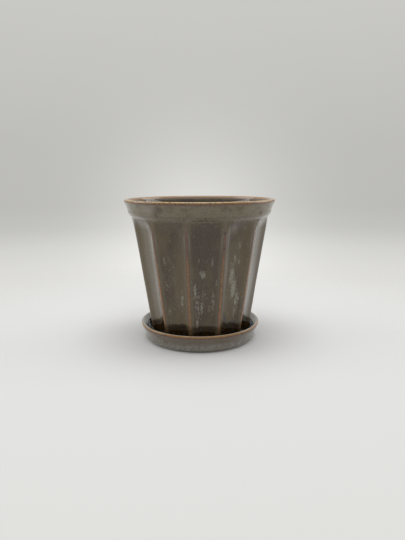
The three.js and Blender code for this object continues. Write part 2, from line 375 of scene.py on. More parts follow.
def pot_inside(sizes):
    """The inside wall, which follows the flutes as a soft wave, its fillet and the floor."""
    shoulder_rows, wall_rows, fillet_rows, floor_rows = 12, 10, 9, 6
    collar_inside = sizes.collar_radius - sizes.collar_wall
    wall_top = sizes.collar_height - sizes.inner_shoulder
    wall_foot = sizes.floor_thickness + sizes.floor_fillet
    to_inside = sizes.wall + sizes.inner_softening
    top_radius = ridge_radius(sizes, wall_top) - to_inside
    foot_radius = ridge_radius(sizes, wall_foot) - to_inside
    top_wave = flute_depth(sizes, wall_top) - sizes.inner_softening
    foot_wave = flute_depth(sizes, wall_foot) - sizes.inner_softening
    floor_edge = foot_radius - foot_wave - sizes.floor_fillet
    half_shoulder = sizes.inner_shoulder / 2
    slope = (top_radius - foot_radius) / (wall_top - wall_foot)
    rows = path(
        [collar_inside, sizes.collar_height],
        (
            shoulder_rows,
            [collar_inside, sizes.collar_height - half_shoulder],
            [top_radius + slope * half_shoulder, wall_top + half_shoulder],
            [top_radius, wall_top],
        ),
        (wall_rows, [foot_radius, wall_foot]),
        (fillet_rows, [foot_radius, sizes.floor_thickness], [floor_edge, sizes.floor_thickness]),
        (floor_rows, [sizes.hole_radius * (1 + HOLE_ROUNDING), sizes.floor_thickness]),
    )
    wave = np.concatenate([
        np.linspace(0, 1, shoulder_rows) ** 2 * top_wave,
        np.linspace(top_wave, foot_wave, wall_rows),
        np.linspace(foot_wave, 0, fillet_rows),
        np.zeros(floor_rows),
    ])
    return stations(rows, wave, shoulder=0)


def pot_underside(sizes):
    """The drain hole, the recess and the foot ring."""
    hole = sizes.hole_radius
    edge = HOLE_ROUNDING * hole
    top, bottom = sizes.floor_thickness, sizes.foot_recess
    ring_inside = sizes.foot_radius - sizes.foot_ring_width
    ring_outside = sizes.foot_radius - sizes.foot_round
    return stations(path(
        [hole + edge, top],
        (4, [hole, top], [hole, top - edge]),
        (3, [hole, bottom + edge]),
        (4, [hole, bottom], [hole + edge, bottom]),
        (6, [ring_inside - bottom, bottom]),
        (4, [ring_inside - bottom / 2, bottom], [ring_inside, 0]),
        (5, [ring_outside - 0.5 * MM, 0]),
    ))


def column_shares():
    """Where the columns of one flute lie: across it from edge to edge, then over the ridge beside it.

    Each is (share of the flute's own span, share of the way on to the ridge at its far side and back).
    """
    across = np.sin(np.linspace(-np.pi / 2, np.pi / 2, FLUTE_COLUMNS))
    over = np.linspace(0, 1, RIDGE_COLUMNS + 2)[1:-1]
    return across, over


def flute_rise(x, turning):
    """How far a flute's surface has risen from its middle, x = 0, to its edge, x = 1.

    The rise is x to FLUTE_POWER up to turning. From there its slope falls evenly, from what it is
    there to RIDGE_SLOPE at the edge, where it has risen by T. The whole is divided by T, and stays
    1 past the edge.
    """
    x = np.minimum(x, 1)
    over = np.maximum(x - turning, 0)
    slope = FLUTE_POWER * turning ** (FLUTE_POWER - 1)
    easing = (slope - RIDGE_SLOPE) / (1 - turning)
    rise = np.minimum(x, turning) ** FLUTE_POWER + slope * over - easing * over**2 / 2
    total = turning**FLUTE_POWER + (1 - turning) * (slope + RIDGE_SLOPE) / 2
    return rise / total


def pot_points(sizes, section):
    """Every point of the pot, rows of the section by columns round it, and its polar coordinates.

    With u the distance from a flute's middle as a share of half the pitch, and x = u / span, the
    surface lies below the ridges by depth times what flute_rise leaves of 1, or on the inside by
    depth times the squared cosine of a quarter turn times u.
    """
    half_pitch = np.pi / sizes.flute_count
    radius, height, depth, span, shoulder = (section[:, i, None] for i in range(5))
    across, over = column_shares()
    flute = across[None] * span
    land = span + (2 - 2 * span) * over[None]
    offset = np.concatenate([flute, land], 1)
    middles = 2 * half_pitch * np.arange(sizes.flute_count)
    turn = (middles[None, :, None] + half_pitch * offset[:, None, :]).reshape(len(section), -1)
    u = np.abs((turn / half_pitch + 1) % 2 - 1)
    turning = np.clip(1 - shoulder / (radius * half_pitch), 0, 0.99)
    groove = 1 - flute_rise(u / span, turning)
    wave = np.cos(np.pi / 2 * u) ** 2
    reach = radius - depth * np.where(shoulder > 0, groove, wave)
    return reach, turn, np.broadcast_to(height, turn.shape), u


def swell(turn, height):
    """Slow waves over the wall, from -1 to 1: three sines of the turn and the height."""
    first = np.sin(5 * turn + 61 * height + 0.4)
    second = np.sin(11 * turn - 97 * height + 2.1)
    third = np.sin(19 * turn + 160 * height + 4)
    return 0.45 * first + 0.3 * second + 0.25 * third


def drain_notches(sizes, reach, turn, height):
    """Lift of the foot ring over each notch: a round channel, notch_depth less the square of the offset."""
    if sizes.notch_count == 0:
        return np.zeros_like(turn)
    pitch = 2 * np.pi / sizes.notch_count
    offset = (turn + pitch / 2) % pitch - pitch / 2
    from_middle = reach * np.sin(offset)
    channel = sizes.notch_depth * (1 - (2 * from_middle / sizes.notch_width) ** 2)
    across_ring = (np.cos(offset) > 0.9) & (reach > sizes.foot_radius / 2)
    return np.where(across_ring, np.clip(channel - height, 0, None), 0)


def wall_radius(sizes, height):
    """Radius at the floor of a flute."""
    return ridge_radius(sizes, height) - flute_depth(sizes, height)


def along(points):
    """Distance along a section from its first point."""
    steps = np.hypot(*np.diff(points[:, :2], axis=0).T)
    return np.concatenate([[0], np.cumsum(steps)])


def past_crest(section):
    """Distance along the section from the outer edge of the lip's crest, less than 0 outside it."""
    distance = along(section)
    crest = np.argmax(section[:, 1])
    return np.clip(distance - distance[crest], -FAR, FAR)[:, None]


def pot_surface(sizes):
    """The points of the pot, in the frame's own place, and the fields that its glaze follows."""
    section = np.concatenate([
        fluted_wall(sizes), collar_and_lip(sizes), pot_inside(sizes), pot_underside(sizes)
    ])
    reach, turn, height, u = pot_points(sizes, section)
    outside = np.arange(len(section))[:, None] <= np.argmax(section[:, 1])
    half_pitch = np.pi / sizes.flute_count
    from_ridge = (1 - u) * half_pitch * reach
    below_lip = 1 - smooth(height, sizes.height - 9 * MM, sizes.height - 3 * MM)
    on_wall = smooth(height, 2 * MM, 10 * MM) * below_lip
    reach = reach + sizes.unevenness * on_wall * swell(turn, height)
    lift = drain_notches(sizes, reach, turn, height)
    fields = {
        "beside": np.where(outside, np.minimum(from_ridge, FAR), FAR),
        "past": past_crest(section) + 0 * turn,
        "rise": height,
        "outside": outside + 0 * turn,
        "bare": np.where(section[:, 1, None] < 0.4 * MM, 1.0, 0.0) + 0 * turn,
    }
    points = np.stack([reach * np.sin(turn), -reach * np.cos(turn), height + lift + POT_LOW.z], -1)
    return points, fields


# The saucer's surface


def saucer_section(sizes):
    """The section from the middle of the underside, out, over the lip and in to the middle of the floor."""
    lip = sizes.lip_radius - HAIR
    top = sizes.height - HAIR
    lip_middle = top - sizes.lip_thickness / 2
    foot = sizes.foot_radius
    inner_foot = foot - sizes.foot_width
    well_top = top - sizes.brim_drop
    crest = lip - sizes.lip_thickness / 2
    draft = sizes.well_radius - sizes.floor_radius
    fillet_radius = sizes.floor_radius + draft * sizes.well_fillet / (well_top - sizes.floor_height)
    fillet_top = sizes.floor_height + sizes.well_fillet
    floor_end = sizes.floor_radius - sizes.well_fillet
    flare_foot = sizes.foot_round + sizes.foot_band
    edge = 0.5 * MM
    return path(
        [FAN_RADIUS, sizes.recess],
        (8, [inner_foot - sizes.recess, sizes.recess]),
        (6, [inner_foot, sizes.recess], [inner_foot, 0]),
        (5, [foot - sizes.foot_round, 0]),
        (10, [foot, 0], [foot, sizes.foot_round]),
        (2, [foot, flare_foot]),
        (22, [foot, flare_foot + sizes.flare_tuck], [lip, lip_middle - sizes.flare_swell], [lip, lip_middle]),
        (8, [lip, top], [crest, top]),
        (16, [lip - sizes.lip_thickness, top], [sizes.well_radius + edge, well_top + edge / 2]),
        (5, [sizes.well_radius, well_top], [sizes.well_radius - edge / 3, well_top - edge]),
        (8, [fillet_radius, fillet_top]),
        (8, [sizes.floor_radius, sizes.floor_height], [floor_end, sizes.floor_height]),
        (14, [FAN_RADIUS, sizes.floor_height]),
    )


def saucer_surface(sizes):
    """The saucer's section turned round Z, and the fields that its glaze follows."""
    section = saucer_section(sizes)
    turn = np.linspace(0, 2 * np.pi, SAUCER_COLUMNS, endpoint=False)[None]
    radius, height = section[:, 0, None], section[:, 1, None] + 0 * turn
    below_lip = 1 - smooth(height, sizes.height - 3 * MM, sizes.height - 1 * MM)
    on_wall = smooth(height, 0.3 * MM, 4 * MM) * below_lip
    reach = radius + sizes.unevenness * on_wall * swell(turn, height)
    outside = np.arange(len(section))[:, None] <= np.argmax(section[:, 1])
    wall = radius > sizes.foot_radius - sizes.foot_round
    in_well = smooth(sizes.well_radius + 0.2 * MM - radius, -0.3 * MM, 0.3 * MM)
    fields = {
        "past": past_crest(section) + 0 * height,
        "rise": height,
        "outside": (outside & wall) + 0 * height,
        "well": np.where(outside, 0, in_well) + 0 * height,
        "bare": np.where(outside & (height < 0.35 * MM), 1.0, 0.0),
    }
    points = np.stack([reach * np.sin(turn), -reach * np.cos(turn), height], -1)
    return points, fields


# Shader nodes

# How deep into the wall a placed patch of glaze reaches
PATCH_DEPTH = 25 * MM


class Graph:
    """Short names for the shader nodes that a material is made of.

    The fields and noises that several layers of a glaze share are kept on it by name.
    """

    def __init__(self, owner, shader="Principled BSDF", place="Object"):
        owner.use_nodes = True
        self.tree = owner.node_tree
        self.shader = self.tree.nodes[shader]
        self.place = self.node("TexCoord", {})[place]

    def put(self, socket, value):
        """Links value where it is a socket, and otherwise sets it."""
        if isinstance(value, bpy.types.NodeSocket):
            self.tree.links.new(value, socket)
        elif socket.type == "RGBA":
            socket.default_value = (*value[:3], 1)
        else:
            socket.default_value = value

    def node(self, kind, inputs, **settings):
        """The outputs of a new node, made with these settings and then these inputs."""
        node = self.tree.nodes.new("ShaderNode" + kind)
        for name, value in settings.items():
            setattr(node, name, value)
        for name, value in inputs.items():
            self.put(node.inputs[name], value)
        return node.outputs

    def field(self, name):
        """One of the piece's own attributes."""
        return self.node("Attribute", {}, attribute_name=name)["Fac"]

    def noise(self, size, detail=2.0, roughness=0.5, tall=1.0, shift=0.0):
        """Noise whose lumps are about size metres wide and tall times as high."""
        scaled = self.node("Mapping", {"Vector": self.place, "Scale": (1, 1, 1 / tall)})["Vector"]
        inputs = {"Vector": scaled, "W": shift, "Scale": 1 / size, "Detail": detail, "Roughness": roughness}
        return self.node("TexNoise", inputs, noise_dimensions="4D")["Fac"]

    def wander(self, size, reach):
        """The place on the object, carried about by up to reach, in lumps of about size."""
        lumps = self.node("TexNoise", {"Vector": self.place, "Scale": 1 / size, "Detail": 3})["Color"]
        inputs = {0: lumps, 1: (2 * reach, 2 * reach, 2 * reach), 2: (-reach, -reach, -reach)}
        shift = self.node("VectorMath", inputs, operation="MULTIPLY_ADD")["Vector"]
        return self.node("VectorMath", {0: self.place, 1: shift})["Vector"]

    def patch(self, place, turn, radius, height, wide, tall):
        """1 at one spot of the wall, falling evenly to 0 at wide beside it and tall above and below."""
        inputs = {
            "Vector": place,
            "Location": (radius * math.sin(turn), -radius * math.cos(turn), height),
            "Rotation": (0, 0, turn),
            "Scale": (wide, PATCH_DEPTH, tall),
        }
        spot = self.node("Mapping", inputs, vector_type="TEXTURE")["Vector"]
        return self.node("TexGradient", {"Vector": spot}, gradient_type="SPHERICAL")["Fac"]

    def math(self, operation, first, second):
        """One arithmetic step, kept between 0 and 1."""
        return self.node("Math", {0: first, 1: second}, operation=operation, use_clamp=True)["Value"]

    def add(self, first, second):
        """The sum, up to 1."""
        return self.math("ADD", first, second)

    def times(self, first, second):
        """The product."""
        return self.math("MULTIPLY", first, second)

    def larger(self, first, second):
        """The larger of two shares."""
        return self.math("MAXIMUM", first, second)

    def total(self, first, second):
        """The sum, without a limit."""
        return self.node("Math", {0: first, 1: second})["Value"]

    def ragged(self, value, noise, width):
        """value, carried up and down by half of width with the noise."""
        inputs = {"Value": noise, "To Min": -width / 2, "To Max": width / 2}
        return self.total(value, self.node("MapRange", inputs)["Result"])

    def step(self, value, low, high, start=0.0, end=1.0):
        """A smooth step from start at low to end at high."""
        inputs = {"Value": value, "From Min": low, "From Max": high, "To Min": start, "To Max": end}
        return self.node("MapRange", inputs, interpolation_type="SMOOTHSTEP")["Result"]

    def band(self, value, low, high, soft, most=1.0):
        """most between low and high, and 0 beyond them, with edges soft wide."""
        rising = self.step(value, low - soft / 2, low + soft / 2, 0, most)
        return self.times(rising, self.step(value, high - soft / 2, high + soft / 2, 1, 0))

    def mix(self, amount, base, over, blend="MIX"):
        """over laid on base by amount."""
        inputs = {"Factor": amount, "A": base, "B": over}
        return self.node("Mix", inputs, data_type="RGBA", blend_type=blend)["Result"]


# Pale streaks in front: turn in degrees, height above the foot, half width and half height in mm, strength
STREAKS = (
    (-2.2, 67, 5.2, 7, 0.95),
    (-5.5, 79, 1.6, 5, 0.6),
    (-1.5, 80, 1.2, 4, 0.5),
    (6.3, 78, 1.6, 8, 0.65),
    (10.6, 60, 1.6, 6, 0.6),
    (-9.4, 51, 2.2, 14, 0.95),
    (-7.0, 38.5, 5.4, 28, 0.62),
    (-1.5, 48, 7, 22, 0.4),
    (5, 36, 7, 22, 0.35),
    (-31, 60, 11, 34, 0.3),
    (31, 60, 11, 36, 0.4),
    (-3.2, 36, 2.4, 12, 0.8),
    (-7.5, 22, 2.6, 12, 0.8),
    (8.3, 40.5, 2.2, 20, 0.7),
    (29.0, 80, 4.5, 12, 0.65),
    (32.4, 90, 2.2, 9, 0.75),
    (33.5, 77, 2.0, 9, 0.65),
    (26.5, 65, 5.5, 20, 0.9),
    (30.0, 52, 6.0, 18, 0.95),
    (35.5, 40.5, 4.0, 18, 0.85),
    (34.4, 30, 3.0, 12, 0.75),
    (-38.0, 77, 2.0, 11, 0.7),
    (-33.3, 80, 1.5, 6, 0.55),
    (-29.3, 74, 2.2, 6, 0.5),
    (-22.5, 42, 3.2, 20, 0.7),
    (-38.0, 56, 2.4, 14, 0.5),
    (-38.0, 30, 3.4, 16, 0.5),
)

# Pale patches on the collar and beside one ridge, given as the streaks are: partly pale mottling, partly a
# painted sheen of light mirrored on faces turned outward
PALE_MOTTLE_AND_SHEEN = (
    (-44, 125, 12, 12, 0.6),
    (24, 108, 8, 11, 0.35),
    (19, 72, 2.2, 50, 0.4),
    (19.2, 99, 1.7, 24, 0.45),
)

# Where the painted shade at the foot, standing for the saucer's shadow and its dark well mirrored in the
# wall, reaches higher, given as the streaks are
PAINTED_SHADE_TIPS = (
    (-48.3, 14, 2.6, 14.5, 1.0),
    (-24, 12, 7, 10, 1.0),
    (22.5, 13, 5, 11.5, 1.0),
    (22.3, 14.5, 3.1, 16.5, 1.0),
    (-50, 13, 5, 11, 1.0),
    (32, 12, 11, 10.4, 1.0),
    (48.8, 14, 2.4, 14, 1.0),
    (58, 12, 9, 13, 1.0),
)

# Darker clouds on the collar and in the mottled band, given as the streaks are
DARK_CLOUDS = (
    (-35.5, 123.5, 8, 5, 1.0),
    (-37.5, 119.5, 4, 5, 0.9),
    (27, 110, 10, 9, 0.5),
)

# Single iron spots, given as the streaks are
IRON_SPOTS = (
    (14.9, 103.6, 2.2, 1.8, 1.0),
    (15.2, 90.5, 1.8, 1.8, 1.0),
    (46.4, 119.6, 1.8, 1.5, 1.0),
    (-0.8, 116.3, 2.2, 1.3, 0.8),
    (47.5, 95, 1.6, 2, 1.0),
)

# Olive clouds in front, given as the streaks are
CLOUDS = (
    (-62.0, 70, 26, 110, 1.0),
    (-21.0, 50, 13, 80, 0.8),
    (27.0, 40, 12, 60, 0.7),
    (60.0, 70, 20, 90, 0.5),
)


# For each flute that faces away: how many streaks are drawn, how far to either side of its middle in
# degrees, and the least and the most of their other values
DRAWN_COUNT = 4
DRAWN_SPREAD = 10
DRAWN_LEAST = (25, 1, 6, 0.6)
DRAWN_MOST = (85, 4, 18, 1)

# Gloss of the glaze: its index of refraction, and the clear coat on it
GLAZE_IOR = 1.54
COAT_WEIGHT = 0.4
COAT_ROUGHNESS = 0.06

# The finest unevenness of the glaze, as bump
BUMP_STRENGTH = 0.3
BUMP_DISTANCE = 0.15 * MM


def streak_mask(g, sizes):
    """Patches of pale crystals on the wall, given one by one in front and by a seeded draw elsewhere."""
    draw = np.random.default_rng(12)
    placed = list(STREAKS)
    for flute in range(3, sizes.flute_count - 2):
        middle = 360 / sizes.flute_count * flute
        for _ in range(DRAWN_COUNT):
            turn = middle + draw.uniform(-DRAWN_SPREAD, DRAWN_SPREAD)
            placed.append((turn, *draw.uniform(DRAWN_LEAST, DRAWN_MOST)))
    return patch_mask(g, sizes, placed, g.wander(4 * MM, 1.2 * MM))


def patch_mask(g, sizes, placed, place):
    """The strongest of the placed patches at each spot of the wall."""
    mask = 0.0
    for degrees, height, wide, tall, strength in placed:
        turn = math.radians(degrees)
        radius = wall_radius(sizes, height * MM)
        spot = g.patch(place, turn, radius, height * MM + POT_LOW.z, wide * MM, tall * MM)
        mask = g.larger(g.times(spot, strength), mask)
    return mask


def lip_layers(g, base, glaze, reach, crest):
    """The lip, outwards from its crest: pale ochre that is partly a painted highlight, ochre, a dark rust
    line and plum.

    reach is how far the ochre goes down the outside, and crest how much of the pale crest colour, with its
    painted highlight, shows.
    """
    past = g.ragged(g.ragged(g.field("past"), g.grain, 0.7 * MM), g.blotch, 0.5 * MM)
    base = g.mix(g.band(past, -reach - 2 * MM, 0, 1 * MM, 0.7), base, glaze.plum)
    base = g.mix(g.band(past, -reach - 0.9 * MM, 0, 0.5 * MM, 0.85), base, glaze.umber)
    base = g.mix(g.band(past, -reach, 0.3 * MM, 0.4 * MM), base, glaze.ochre)
    # Pale crest colour: partly thin glaze, partly a painted highlight
    base = g.mix(g.band(past, 1.2 * MM - reach, 0.3 * MM, 0.6 * MM, crest), base, glaze.honey_highlight)
    return base, past


def finish_glaze(g, base, rough, thick, glaze):
    """Lays bare clay over the glaze, and sets the shader's colour, roughness, gloss and bump.

    The bump is the grain and the blotches, and the blotches stand out where the glaze is thick.
    """
    bare = g.field("bare")
    clay = g.mix(g.step(g.grain, 0.3, 0.7, 0, 0.5), glaze.clay, glaze.olive)
    uneven = g.times(g.blotch, g.add(g.times(thick, 0.5), 0.1))
    height = g.add(g.times(g.grain, 0.12), uneven)
    bump = g.node("Bump", {"Strength": BUMP_STRENGTH, "Distance": BUMP_DISTANCE, "Height": height})
    for name, value in (
        ("Base Color", g.mix(bare, base, clay)),
        ("Roughness", g.larger(rough, g.times(bare, 0.85))),
        ("IOR", GLAZE_IOR),
        ("Coat Weight", COAT_WEIGHT),
        ("Coat Roughness", COAT_ROUGHNESS),
        ("Normal", bump["Normal"]),
    ):
        g.put(g.shader.inputs[name], value)


def pot_body(g, glaze, sizes):
    """The cloudy brown body with fine falling fibres, and pale halos beside the ridges."""
    drift = g.noise(9 * MM, 3, 0.6, tall=3, shift=5)
    clouds = patch_mask(g, sizes, CLOUDS, g.wander(12 * MM, 5 * MM))
    cloudy = g.larger(g.step(g.cloud, 0.42, 0.66), g.step(clouds, 0.05, 0.5))
    base = g.mix(cloudy, glaze.body, glaze.olive)
    base = g.mix(g.step(drift, 0.46, 0.75, 0, 0.3), base, glaze.halo)
    base = g.mix(g.step(g.fibre, 0.48, 0.72, 0, 0.22), base, glaze.halo)
    base = g.mix(g.step(g.fibre, 0.5, 0.3, 0, 0.25), base, glaze.body)
    base = g.mix(g.step(g.grain, 0.52, 0.72, 0, 0.2), base, glaze.halo)
    halo = g.step(g.near, 5 * MM, 2 * MM, 0, 0.5)
    return g.mix(g.times(halo, g.outside), base, glaze.halo)


def pot_collar(g, base, glaze):
    """The mottled band where the flutes end, and the collar's thick glaze with its dark crease."""
    level = g.ragged(g.ragged(g.rise, g.blotch, 4.5 * MM), g.fibre, 3 * MM)
    banded = g.times(g.step(level, 111.6 * MM, 114.2 * MM, 0, 0.8), g.outside)
    band = g.mix(g.step(g.blotch, 0.36, 0.46), glaze.olive, glaze.halo)
    band = g.mix(g.step(g.blotch, 0.5, 0.64), band, glaze.lilac)
    base = g.mix(banded, base, band)
    collar = g.times(g.step(g.ragged(g.rise, g.blotch, 2 * MM), 116 * MM, 118.5 * MM), g.outside)
    mottle = g.noise(9 * MM, 4, 0.6, tall=0.7, shift=17)
    thick = g.mix(g.step(mottle, 0.44, 0.66, 0, 0.75), glaze.pool, glaze.olive)
    base = g.mix(collar, base, thick)
    crease = g.band(g.ragged(g.rise, g.blotch, 2.4 * MM), 116.6 * MM, 117.8 * MM, 1.2 * MM, 0.55)
    crease = g.times(g.times(crease, g.outside), g.step(g.grain, 0.4, 0.6))
    return g.mix(crease, base, glaze.body), banded, collar


def pot_patches(g, base, glaze, sizes):
    """The pale arch round the top of each flute, the dark clouds, and pale patches that are partly mottling
    and partly a painted sheen.
    """
    closing = g.ragged(g.beside, g.step(g.rise, 98 * MM, 110 * MM, 0.5, 1), 5 * MM)
    arch = g.times(g.band(closing, 1.6 * MM, 2.7 * MM, 0.8 * MM, 0.6), g.step(g.rise, 84 * MM, 96 * MM))
    base = g.mix(g.times(arch, g.outside), base, glaze.lilac)
    dark = g.step(patch_mask(g, sizes, DARK_CLOUDS, g.wander(3 * MM, 1.5 * MM)), 0.05, 0.6, 0, 0.6)
    base = g.mix(g.times(dark, g.outside), base, glaze.body)
    # Pale patches: partly mottling in the glaze, partly a painted sheen of mirrored light
    pale = g.step(patch_mask(g, sizes, PALE_MOTTLE_AND_SHEEN, g.place), 0, 0.9, 0, 0.94)
    return g.mix(g.times(pale, g.outside), base, glaze.brim)


def pot_foot_painted_shade(g, base, glaze, sizes):
    """Painted shade at the foot, standing for the saucer's shadow and its dark well mirrored in the wall, up
    to a wavy line and higher at the tips.
    """
    wavy = g.ragged(g.rise, g.blotch, 0.8 * MM)
    upper = g.step(wavy, 18.7 * MM, 18.1 * MM, 0, 0.72)
    lower = g.step(wavy, 17 * MM, 15 * MM, 0, 0.82)
    foot = g.times(g.larger(upper, lower), g.step(g.near, 1 * MM, 4 * MM, 0.3, 1))
    # Tips of the painted shade, where the mirrored dark well reaches higher
    tips = g.step(patch_mask(g, sizes, PAINTED_SHADE_TIPS, g.place), 0.16, 0.21, 0, 0.95)
    dark = g.mix(g.step(g.fibre, 0.38, 0.62, 0, 0.24), glaze.pitch, glaze.umber)
    return g.mix(g.times(g.larger(foot, tips), g.outside), base, dark)


def pot_crystals(g, base, glaze, streaks):
    """Pale crystals in the streaks, and small flecks all over the wall."""
    ripple = g.noise(0.9 * MM, 4, 0.72, tall=2.2, shift=41)
    crystals = g.step(g.add(g.times(streaks, 0.4), ripple), 0.66, 0.77, 0, 0.65)
    pores = g.step(g.grain, 0.34, 0.52, 0.3, 1)
    base = g.mix(g.times(g.times(crystals, pores), g.step(streaks, 0, 0.15)), base, glaze.mist)
    flecks = g.step(g.noise(0.9 * MM, 1, tall=1.6, shift=23), 0.645, 0.74, 0, 0.55)
    flecks = g.times(flecks, g.times(g.outside, g.step(g.blotch, 0.35, 0.6, 0.3, 1)))
    return g.mix(flecks, base, glaze.mist)


def pot_lip(g, base, glaze):
    """The dark inside, its lilac and tan bands below the lip, and the lip itself."""
    inner = g.ragged(g.field("past"), g.noise(12 * MM, shift=29), 2.4 * MM)
    base = g.mix(g.step(inner, 5 * MM, 8 * MM, 0, 0.6), base, glaze.pitch)
    base = g.mix(g.band(inner, 0, 5.2 * MM, 0.8 * MM, 0.85), base, glaze.lilac)
    base, past = lip_layers(g, base, glaze, 2.7 * MM, 0.9)
    return g.mix(g.band(past, 1.2 * MM, 3.4 * MM, 0.7 * MM, 0.9), base, glaze.tan), past


def pot_ridges(g, base, glaze, level, fluted):
    """The broken glaze along the ridges: rust, cherry towards the top, and an umber fringe."""
    thin = g.step(g.rise, 0, 100 * MM, 0, 0.35 * MM)
    edge = g.total(g.ragged(g.beside, g.grain, 0.8 * MM), thin)
    edge = g.ragged(edge, g.step(g.rise, 26 * MM, 14 * MM, 0.5, 1), 0.8 * MM)
    fringe = g.step(edge, 1.7 * MM, 1 * MM, 0, 0.6)
    base = g.mix(g.times(fringe, fluted), base, glaze.umber)
    rust = g.mix(g.step(g.grain, 0.42, 0.6, 0, 0.6), glaze.rust, glaze.umber)
    rust = g.mix(g.step(level, 72 * MM, 88 * MM, 0, 0.9), rust, glaze.cherry)
    rust = g.mix(g.step(g.rise, 22 * MM, 14 * MM, 0, 0.75), rust, glaze.umber)
    return g.mix(g.times(g.step(edge, 1 * MM, 0.65 * MM), fluted), base, rust)


def pot_specks(g, base, glaze, sizes, past, fluted, collar):
    """Dark iron specks on the lip, the ridges and the collar, and the single spots."""
    on_lip = g.band(past, -3.4 * MM, -0.8 * MM, 0.6 * MM)
    specks = g.add(g.noise(1.1 * MM, 1, 0.4, shift=31), g.times(on_lip, 0.06))
    specks = g.step(specks, 0.59, 0.65, 0, 0.85)
    on_ridge = g.times(g.step(g.beside, 1.2 * MM, 0.6 * MM), fluted)
    where = g.larger(g.larger(on_lip, on_ridge), g.times(collar, 0.5))
    base = g.mix(g.times(specks, where), base, glaze.iron)
    single = g.step(patch_mask(g, sizes, IRON_SPOTS, g.wander(2 * MM, 0.4 * MM)), 0.2, 0.5, 0, 0.8)
    return g.mix(g.times(single, g.outside), base, glaze.iron)


def pot_glaze(glaze, sizes):
    """The pot's reactive glaze, each layer mixed over the ones before it."""
    material = bpy.data.materials.new("pot_glaze")
    g = Graph(material)
    g.outside, g.rise, g.beside = g.field("outside"), g.field("rise"), g.field("beside")
    g.cloud = g.noise(22 * MM, tall=1.8, shift=1.3)
    g.fibre = g.noise(0.9 * MM, 3, 0.6, tall=13, shift=11)
    g.grain = g.noise(0.8 * MM, 3, 0.6, tall=1.5, shift=3)
    g.blotch = g.noise(2.6 * MM, 4, 0.6, tall=1.2, shift=7)
    g.near = g.ragged(g.beside, g.fibre, 5 * MM)
    level = g.ragged(g.rise, g.blotch, 16 * MM)
    fluted = g.times(g.step(level, 112 * MM, 101 * MM), g.outside)
    streaks = g.times(streak_mask(g, sizes), g.outside)

    base, banded, collar = pot_collar(g, pot_body(g, glaze, sizes), glaze)
    base = pot_patches(g, base, glaze, sizes)
    base = pot_foot_painted_shade(g, base, glaze, sizes)
    base = pot_crystals(g, base, glaze, streaks)
    base, past = pot_lip(g, base, glaze)
    base = pot_ridges(g, base, glaze, level, fluted)
    base = pot_specks(g, base, glaze, sizes, past, fluted, collar)

    thick = g.add(banded, collar)
    rough = g.add(g.step(g.cloud, 0.3, 0.7, 0.04, 0.07), g.times(thick, 0.12))
    rough = g.add(rough, g.band(past, -4 * MM, 2.5 * MM, 1 * MM, 0.1))
    rough = g.add(rough, g.times(streaks, 0.1))
    finish_glaze(g, base, rough, thick, glaze)
    return material


def saucer_glaze(glaze):
    """The saucer's glaze: a soft purple grey, bluish mottling low on the outside, the lip, a brim with a
    painted sheen, a dark well that is partly painted shade, and a painted highlight on the well's edge.
    """
    material = bpy.data.materials.new("saucer_glaze")
    g = Graph(material)
    outside, rise, well = g.field("outside"), g.field("rise"), g.field("well")
    cloud = g.noise(20 * MM, 3, 0.55, tall=0.6, shift=2)
    g.grain = g.noise(0.8 * MM, 3, 0.6, tall=1.2, shift=3)
    g.blotch = g.noise(2.6 * MM, 4, 0.6, shift=9)
    base = g.mix(g.step(cloud, 0.38, 0.64, 0.3, 0.7), glaze.olive, glaze.lilac)
    low = g.times(g.step(g.ragged(rise, g.blotch, 5 * MM), 10 * MM, 5.5 * MM), outside)
    frost = g.noise(1.8 * MM, 4, 0.7, shift=19)
    base = g.mix(g.times(low, g.step(frost, 0.42, 0.58, 0.15, 0.85)), base, glaze.frost)
    freckles = g.step(g.noise(1.2 * MM, shift=13), 0.54, 0.66, 0, 0.5)
    base = g.mix(g.times(freckles, low), base, glaze.mist)
    foot = g.times(g.step(g.ragged(rise, g.grain, 0.5 * MM), 1.3 * MM, 0.7 * MM, 0, 0.8), outside)
    base = g.mix(foot, base, glaze.umber)
    base, past = lip_layers(g, base, glaze, 2.1 * MM, 0.35)
    # The brim's pale glaze, with a share of the glint colour laid in as a painted sheen of light mirrored on
    # the brim
    pale = g.mix(g.step(g.blotch, 0.4, 0.65, 0.24, 0.5), glaze.brim, glaze.painted_glint)
    base = g.mix(g.step(past, -0.8 * MM, -0.3 * MM), base, pale)
    # The well in the darkest colour: partly dark thick glaze, partly painted shade of the hollow
    base = g.mix(well, base, glaze.pitch)
    # Painted highlight: a thin pale line along the edge of the well
    rim = g.times(g.step(well, 0, 0.3), g.step(well, 1, 0.7))
    base = g.mix(rim, base, glaze.painted_glint)
    specks = g.step(g.noise(1 * MM, 1, 0.4, shift=31), 0.56, 0.64, 0, 0.8)
    base = g.mix(g.times(specks, g.band(past, -3.2 * MM, -1 * MM, 0.5 * MM)), base, glaze.iron)
    rough = g.add(g.step(cloud, 0.3, 0.7, 0.08, 0.13), g.times(low, 0.12))
    rough = g.add(rough, g.band(past, -3 * MM, 0.5 * MM, 1 * MM, 0.08))
    rough = g.times(rough, g.step(well, 0, 1, 1, 0.5))
    finish_glaze(g, base, rough, low, glaze)
    return material


def finish_piece(piece, material, body, node):
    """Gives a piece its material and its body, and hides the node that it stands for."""
    piece.data.materials.append(material)
    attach(piece, body)
    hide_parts(node)


class PLANTER_OT_pot(bpy.types.Operator):
    """Make the fluted pot"""

    bl_idname = "planter.pot"
    bl_label = "Pot"

    def execute(self, context):
        points, fields = pot_surface(context.scene.planter_pot)
        piece = mesh_object("glazed_pot", points, True, fields)
        glaze = pot_glaze(context.scene.planter_glaze, context.scene.planter_pot)
        finish_piece(piece, glaze, "pot", "pot")
        return {"FINISHED"}


